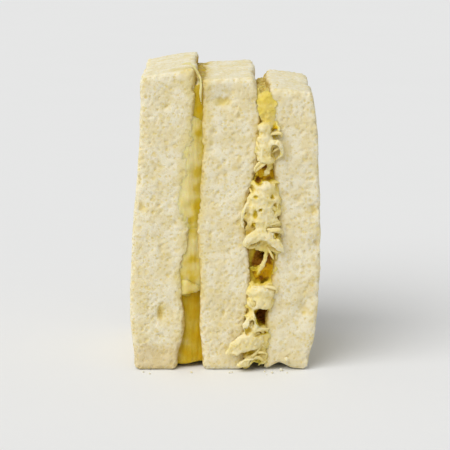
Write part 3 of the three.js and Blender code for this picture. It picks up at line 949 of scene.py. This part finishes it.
random.seed(12)
heap = []
for number, (path, width, thick) in enumerate(FRONT_SHREDS):
    points = [at(x, -proud, z) for x, proud, z in path]
    add = add_bundle if BUNDLE_WIDTHS[0] <= width <= BUNDLE_WIDTHS[1] else add_shred
    add(heap, points, width * MM, thick * MM, FORWARD, number, FINE_SPHERE)
print("placed shreds:", len(FRONT_SHREDS))

# %% [markdown]
# The rest of the heap is random but seeded. Each shred knows where the two slices are at its height, from
# a ray to either side, and so it fills the gap without cutting far into the bread. Steps of an irrational
# share of the field, such as the golden ratio, spread the shreds evenly without a visible grid.

# %% Loose shreds over the core
GOLDEN = 0.618034
PLASTIC = 0.754878


def gap_middle(z):
    """The gap leans: at the foot its middle is further to the left."""
    return (10.4 - 3.6 * (1 - rise(z, 4, 13))) * MM + shift_x


def gap_at(y, z):
    """Left and right side of the filling's gap at a depth and height."""
    start = Vector((gap_middle(z), y, z))
    left = trees["bread_middle"].ray_cast(start, Vector((-1, 0, 0)))[0]
    right = trees["bread_right"].ray_cast(start, Vector((1, 0, 0)))[0]
    if left is None or right is None:
        return None
    return max(left.x, start.x - 6.5 * MM), min(right.x, start.x + 4.4 * MM)


def in_hole(place, share):
    return any(away_from(place, *hole[:4]) < share for hole in HOLES)


def shred_width():
    """Mostly fine fibres and a few wide ones."""
    if random.random() < 0.75:
        return random.uniform(0.4, 0.9) * MM
    return random.uniform(0.9, 1.5) * MM


def cut_shred(heap, y_cut, facing, x_share, z, layer_depth, hole_share=0.95):
    """Random shred across the gap on the front or back cut."""
    gap = gap_at(y_cut - facing.y * 2.4 * MM, z)
    if gap is None:
        return
    left, right = gap
    middle = left + (right - left) * x_share
    tilt = random.gauss(0, 0.7)
    half = random.uniform(1.3, 3.6) * MM
    reach = Vector((math.cos(tilt), 0, math.sin(tilt))) * half
    bow = Vector((0, 0, random.uniform(-1.2, 1.4) * MM))
    dive = facing * random.uniform(0.3, 1.3) * MM
    centre = Vector((middle, y_cut - facing.y * layer_depth, z))
    near = reach * 0.45
    points = [centre - reach - dive, centre - near + bow * 0.8, centre + near + bow, centre + reach - dive]
    over_bread = 0.8 * MM if layer_depth < 0.15 * MM else 0.25 * MM
    for point in points:
        point.x = min(right + over_bread, max(left - over_bread, point.x))
        point.z = max(point.z, 0.9 * MM)
    if facing == FORWARD and any(in_hole(point, hole_share) for point in points):
        return
    width = shred_width()
    thick = width * random.uniform(0.6, 0.95)
    if width > 1.2 * MM:
        add_bundle(heap, points, width, thick, facing, random.uniform(0, 99))
    else:
        add_shred(heap, points, width, thick, facing, random.uniform(0, 99), twist=random.gauss(0, 0.9))


def top_shred(heap, y, z):
    """Random shred along the open top of the filling."""
    gap = gap_at(y, z - 3 * MM)
    if gap is None:
        return
    left, right = gap
    middle = left + (right - left) * random.uniform(0.15, 0.85)
    turn = random.uniform(-1.3, 1.3)
    reach = Vector((math.cos(turn), math.sin(turn), 0)) * random.uniform(1.4, 3.0) * MM
    centre = Vector((middle, y, z))
    bow = Vector((random.uniform(-1, 1), random.uniform(-1, 1), 0)) * MM
    points = [centre - reach - UPWARD * 1.2 * MM, centre + bow, centre + reach - UPWARD * 1.2 * MM]
    for point in points:
        point.x = min(right, max(left, point.x))
    width = shred_width()
    add_shred(heap, points, width, width * 0.8, UPWARD, random.uniform(0, 99), twist=random.gauss(0, 0.8))


def spread(number, step):
    """Shares from 0 to 1 that never repeat."""
    return (number * step) % 1


def cover_cuts(heap, front_count, back_count, shallow, deep):
    """Spreads random shreds evenly over both cuts."""
    for y_cut, facing, count in ((front_cut, FORWARD, front_count), (back_cut, BACKWARD, back_count)):
        for number in range(count):
            height = (2.0 + 69.5 * spread(number, GOLDEN)) * MM
            share = 0.02 + 0.96 * spread(number, PLASTIC)
            cut_shred(heap, y_cut, facing, share, height, random.uniform(shallow, deep))


def cover_top(heap, count, low, high):
    """Spreads random shreds along the open top."""
    for number in range(count):
        top_shred(heap, front_cut + (2.5 + 36 * spread(number, GOLDEN)) * MM, random.uniform(low, high) * MM)


def back_ribbons(heap, count):
    """Soft wide shreds across the back cut, one above the other."""
    for number in range(count):
        height = (3 + 68 * (number + 0.5) / count + random.uniform(-0.8, 0.8)) * MM
        left, right = gap_at(back_cut - 3 * MM, height)
        tilt = random.uniform(-1.4, 1.4) * MM
        points = [
            Vector((left - 0.5 * MM, back_cut - 0.6 * MM, height - tilt)),
            Vector(((left + right) / 2, back_cut + random.uniform(-0.4, 0.4) * MM, height + 0.4 * MM)),
            Vector((right + 0.5 * MM, back_cut - 0.6 * MM, height + tilt)),
        ]
        add_shred(heap, points, random.uniform(1.8, 3.6) * MM, 1.6 * MM, BACKWARD, 50 + number, FINE_SPHERE)


cover_cuts(heap, 420, 520, 0.8 * MM, 2.4 * MM)
back_ribbons(heap, 24)
cover_top(heap, 220, 71.0, 72.6)
for hole_x, hole_z, wide, tall, dark, behind in HOLES:
    gap = gap_at(front_cut + 4 * MM, hole_z * MM)
    for number in range(round(4 * tall)):
        spot = at(hole_x + random.uniform(-1, 1) * wide, 0, hole_z + random.uniform(-1, 1) * tall)
        x_share = min(0.95, max(0.05, (spot.x - gap[0]) / (gap[1] - gap[0])))
        layer = (behind + random.uniform(0, 1.8)) * MM
        cut_shred(heap, front_cut, FORWARD, x_share, spot.z, layer, hole_share=0.0)
print("shreds in the mass:", len(heap))

# %% [markdown]
# The dressing joins the shreds where they touch. So the shreds and the core, which is pressed against the
# slices, become one skin by voxel remeshing. The skin grows by the dressing's thickness, is made even, and
# shrinks back, which closes the narrow clefts and leaves the wide ones open.

# %% Shreds and core become one mass
DRESSING = 0.28 * MM
MASS_SPACING = 0.8 * SPACING
MOST_TRIANGLES = 190000
mass = even_copy("shredded_filling", "filling_mass", SPACING, 4)
move_out(mass, lambda place, normal: -0.35 * MM)
press(mass, breads, SIDEWAYS, -1 * MM, 0.45, 0.85)
heap.insert(0, mass.data.copy())
bpy.data.objects.remove(mass)
mass = save_heap(heap, "filling_mass")
even_out(mass, MASS_SPACING, 2)
move_out(mass, lambda place, normal: DRESSING)
even_out(mass, MASS_SPACING, 2)


def pit_at(place):
    """How far into a pit of the front cut a place lies, from 0 to 1, and how dark that pit is."""
    if place.y > front_cut + 7 * MM:
        return 0, 0
    uneven = place + Vector((lumps(place, 0.8), 0, lumps(place, 0.8, 7))) * 0.35 * MM
    return max((1 - smooth_step(away_from(uneven, *pit[:4]), 0.5, 1.5), pit[4]) for pit in PITS)


def torn(place, normal):
    """Takes the dressing's thickness off again, and adds small irregular lumps and the pits."""
    uneven = 0.24 * MM * lumps(place, 1.1) + 0.22 * MM * lumps(place, 0.55)
    facing = smooth_step(-normal.y, 0.1, 0.6)
    inside, dark = pit_at(place)
    return uneven - DRESSING - (0.6 + 0.7 * dark) * MM * inside * facing


move_out(mass, torn)
thin_out(mass, MOST_TRIANGLES)
print("mass:", len(mass.data.polygons), "faces")

# %% [markdown]
# Shreds that stand out are pale cream, and what lies deeper gets a painted golden shade, because the light
# there comes off other golden food. Three of the holes get a painted brown shade at the bottom, and the
# lowest one is the darkest.

# %% Painted depth shade and tone of the mass
def hole_shade(place):
    """How dark the painted shade is in the hole or pit that a place lies in, from 0 to 1."""
    far_in = rise(place.y - front_cut, 0.8, 3.0) if place.y < 0 else 0
    shade = 0
    for hole in HOLES:
        shade = max(shade, hole[4] * (1 - smooth_step(away_from(place, *hole[:4]), 0.7, 1.4)))
    inside, dark = pit_at(place)
    patchy = 0.5 + 0.5 * lumps(place, 2.2)
    # Painted golden shade in the channel at the top of the filling, just behind the front cut.
    channel = rise(place.z, 64.5, 66.5) * (0.14 + 0.2 * patchy) if place.y < front_cut + 4 * MM else 0
    return max(shade * far_in, inside * dark, channel)


def painted_shade_by_depth(place):
    """Painted golden shade: 0 on the outermost shreds, 1 where it is 2.2 mm or more below the cuts, and high
    along the open top.
    """
    below = min(place.y - front_cut, back_cut - place.y, 73.2 * MM - place.z)
    open_top = rise(place.z, 63, 67)
    along_top = rise(place.z, 69.5, 71.5)
    return max(rise(below, -1.0, 2.2) * (1 - 0.45 * open_top), 0.85 * along_top)


# Painted golden shade by depth in the heap.
store(mass, "deep", [painted_shade_by_depth(v.co) for v in mass.data.vertices])
store(mass, "tone", [0.5 + 0.5 * lumps(v.co, 2.2) for v in mass.data.vertices])
# Painted shade in the holes and pits, and in the channel along the top of the front cut.
store(mass, "hole", [hole_shade(v.co) for v in mass.data.vertices])
store(mass, "hollow", hollowness(mass, 10, 0.3 * MM))

# %% [markdown]
# The dressing is creamy on the shreds that stand out, and pricked with tiny hollows. Deeper in, in every
# crevice and in the tiny hollows it gets a painted golden shade, and the painted shade in holes and pits goes
# from gold over amber to brown. Light goes a little way into thick cream. It would wash the colour out of
# crevices and thin fibres, so they get less of that.

# %% Filling material
def filling_material(name, inside, pale, warm, depth_shade_gold, crevice_shade):
    look, tree, shader = material(name)
    spots = mottle(tree, 420, 2200)
    dark_spots = mottle(tree, 330, 900)
    pricks = bubbles(tree, 1250, 0.7)
    hole = attribute(tree, "hole")
    hollow = attribute(tree, "hollow")
    tone = ranged(tree, attribute(tree, "tone"), 0.2, 0.8)
    dark = ranged(tree, dark_spots.outputs["Patch"], 0.42, 0.55)
    hole_shade_brown = blend_colour(tree, dark, (0.78, 0.48, 0.008), (0.30, 0.12, 0.006))
    colour = blend_colour(tree, tone, pale, warm)
    # Painted golden shade where the mass lies deeper and along its open top.
    colour = blend_colour(tree, attribute(tree, "deep"), colour, depth_shade_gold)
    colour = lay_over(tree, colour, [
        (spots.outputs["Patch"], 0.5, 0.75, 0.35, pale),
        # Painted golden shade in crevices and in the tiny pricked hollows.
        (hollow, 0.45, 1, 0.85, crevice_shade),
        (pricks, 0, 1, 0.45, crevice_shade),
        # Painted shade in holes and pits: gold, then amber to brown, then darkest brown.
        (hole, 0, 0.5, 1, (0.72, 0.55, 0.04)),
        (hole, 0.5, 0.8, 1, hole_shade_brown),
        (hole, 0.8, 1, 1, (0.20, 0.07, 0.005)),
    ])
    rough = calculate(tree, "MULTIPLY_ADD", spots.outputs["Patch"], 1.5, spots.outputs["Grain"])
    height = calculate(tree, "MULTIPLY_ADD", pricks, -1.2, rough)
    set_inputs(tree, shader, {
        "Base Color": colour,
        "Normal": bumps(tree, height, 0.38, 0.0002),
        "Roughness": 0.45,
        "Specular IOR Level": 0.12,
        "Coat Weight": 0.03,
        "Coat Roughness": 0.25,
        "Subsurface Weight": ranged(tree, hollow, 0.45, 0.9, inside, 0.3 * inside),
        "Subsurface Radius": (0.0012, 0.0011, 0.0009),
        "Subsurface Scale": 1,
    })
    return look


CREAMY = filling_material(
    "creamy shreds",
    inside=0.55,
    pale=(0.825, 0.745, 0.49),
    warm=(0.815, 0.70, 0.34),
    depth_shade_gold=(0.79, 0.62, 0.13),
    crevice_shade=(0.80, 0.60, 0.09),
)
THIN_CREAMY = filling_material(
    "thin creamy fibres",
    inside=0.08,
    pale=(0.86, 0.77, 0.48),
    warm=(0.85, 0.73, 0.35),
    depth_shade_gold=(0.84, 0.67, 0.16),
    crevice_shade=(0.84, 0.64, 0.12),
)
finish_piece(mass, CREAMY, "filling", "shredded_filling")

# %% [markdown]
# A few hundred fine fibres lie loose on the mass, each with a tone of its own.

# %% Loose fibres
loose_heap = []
cover_cuts(loose_heap, 55, 120, -0.2 * MM, 0.6 * MM)
cover_top(loose_heap, 70, 71.8, 72.9)
loose = save_heap(loose_heap, "filling_loose_fibres")
# The loose fibres get a little less of the painted depth shade.
store(loose, "deep", [0.8 * painted_shade_by_depth(v.co) for v in loose.data.vertices])
# A fixed hollowness gives the loose fibres some of the painted crevice shade and less subsurface light.
store(loose, "hollow", [0.62] * len(loose.data.vertices))
finish_piece(loose, THIN_CREAMY, "filling", "shredded_filling")

# %% [markdown]
# Cut bread sheds crumbs. One sits in the notch at the foot of the last slice, as on the photograph, and a
# few more lie close around the foot. Each is a small sphere, roughened by noise. They store no pores or
# stains, and the bread's material reads those as 0.

# %% Crumbs
def add_crumb(heap, place, size, seed):
    crumb = bmesh.new()
    bmesh.ops.create_icosphere(crumb, subdivisions=2, radius=1)
    for vertex in crumb.verts:
        rough = 1 + 0.5 * noise.noise(vertex.co * 1.6 + Vector((seed, 0, 0)))
        vertex.co = place + vertex.co * rough * size / 2
    heap.append(mesh_of(crumb, "crumb"))


crumb_heap = []
add_crumb(crumb_heap, at(15.9, -0.1, 3.3), 1.3 * MM, 1)
add_crumb(crumb_heap, at(14.6, 0.3, 0.4), 0.9 * MM, 2)
for number in range(18):
    size = random.uniform(0.25, 0.6) * MM
    sideways = random.uniform(-24, 24)
    ahead = -random.uniform(0.4, 3.4)
    if number % 2:
        ahead = DEPTH / MM - ahead
    place = at(sideways, ahead, 0)
    place.z = size * 0.42
    add_crumb(crumb_heap, place, size, number + 5)
crumbs = save_heap(crumb_heap, "bread_crumbs")
finish_piece(crumbs, WHITE_CRUMB, "bread")

# %% [markdown]
# The last cell keeps both boxes, so that the size of the finished food can be set against its solids.

# %% Sizes and finish
visual_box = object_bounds()
growth = [round((b - a) / MM, 2) for a, b in zip(cad_box[1], visual_box[1])]
print("box grows by", growth, "mm at the high corner")
